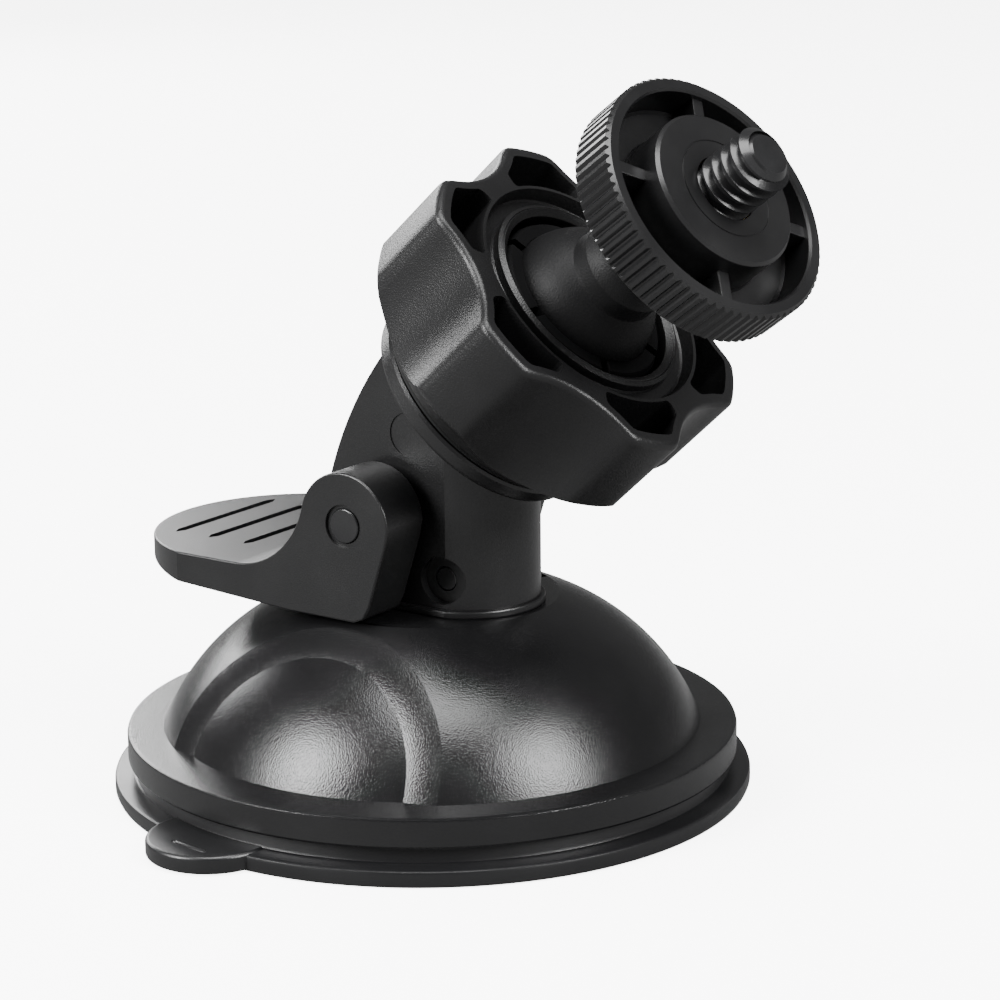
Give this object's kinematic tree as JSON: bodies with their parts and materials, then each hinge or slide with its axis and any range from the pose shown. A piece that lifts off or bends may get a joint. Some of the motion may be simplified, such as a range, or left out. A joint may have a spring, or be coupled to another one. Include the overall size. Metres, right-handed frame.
{
  "type": "dash camera suction mount",
  "caption": "Windscreen suction mount for a dash camera: rubber cup under a domed base, lever lock, leaning neck, clamped ball joint, thumb wheel and camera stud.",
  "frame": {"origin": "centre of the suction cup's underside, on the surface it holds to", "axes": "+Z away from that surface along the pull rod, -Y the way the ball joint leans, +Y the way the lever's tab points, X along the lever's pin"},
  "size_m": [0.0689, 0.0745, 0.0729],
  "materials": {
    "grained_abs": "black ABS with a fine leather grain, semi-gloss",
    "satin_plastic": "black nylon-filled plastic, fine satin texture",
    "knob_plastic": "black plastic with a fine spark-eroded texture",
    "gloss_plastic": "polished black plastic",
    "cup_rubber": "soft black rubber with a smooth sealing face",
    "seat_nylon": "natural nylon, low friction",
    "black_steel": "steel with a glossy black finish",
    "zinc_steel": "zinc-plated steel",
    "spring_steel": "drawn spring steel",
    "nut_brass": "machined brass"
  },
  "bodies": {
    "base": {"suction_cup": "cup_rubber", "return_spring": "spring_steel", "base_cover": "grained_abs", "neck": "satin_plastic", "neck_pin": "black_steel", "neck_screws": "zinc_steel", "ball_seat": "seat_nylon"},
    "rod": {"pull_rod": "gloss_plastic", "spring_washer": "zinc_steel"},
    "lever": {"lever": "satin_plastic", "lever_pin": "black_steel"},
    "knob": {"clamp_knob": "knob_plastic"},
    "collet": {"ball_collet": "satin_plastic"},
    "stem": {"ball_stem": "satin_plastic", "camera_screw": "black_steel"},
    "wheel": {"thumb_wheel": "gloss_plastic", "wheel_nut": "nut_brass"}
  },
  "joints": [
    {"name": "rod_slide", "type": "slide", "parent": "base", "child": "rod", "axis": [0, 0, 1], "range_m": [-0.0025, 0], "deforming": ["return_spring", "suction_cup"]},
    {"name": "lever_swing", "type": "hinge", "parent": "rod", "child": "lever", "pos_m": [0, 0, 0.0293], "axis": [1, 0, 0], "range_deg": [0, 85]},
    {"name": "knob_turn", "type": "hinge", "parent": "base", "child": "knob", "pos_m": [0, -0.0192, 0.0517], "axis": [0, -0.7337, 0.6794], "range_deg": [0, 360]},
    {"name": "stem_pan", "type": "hinge", "parent": "base", "child": "collet", "pos_m": [0, -0.01773, 0.05034], "axis": [0, -0.7337, 0.6794], "continuous": true},
    {"name": "stem_tilt", "type": "hinge", "parent": "collet", "child": "stem", "pos_m": [0, -0.01773, 0.05034], "axis": [0.7034, -0.4829, -0.5215], "range_deg": [-48, 29]},
    {"name": "wheel_spin", "type": "hinge", "parent": "stem", "child": "wheel", "pos_m": [-0.00189, -0.03054, 0.05965], "axis": [-0.1185, -0.8032, 0.5839], "continuous": true}
  ],
  "couplings": [
    {"joint": "rod_slide", "follows": "lever_swing", "m_per_rad": -0.001685}
  ]
}
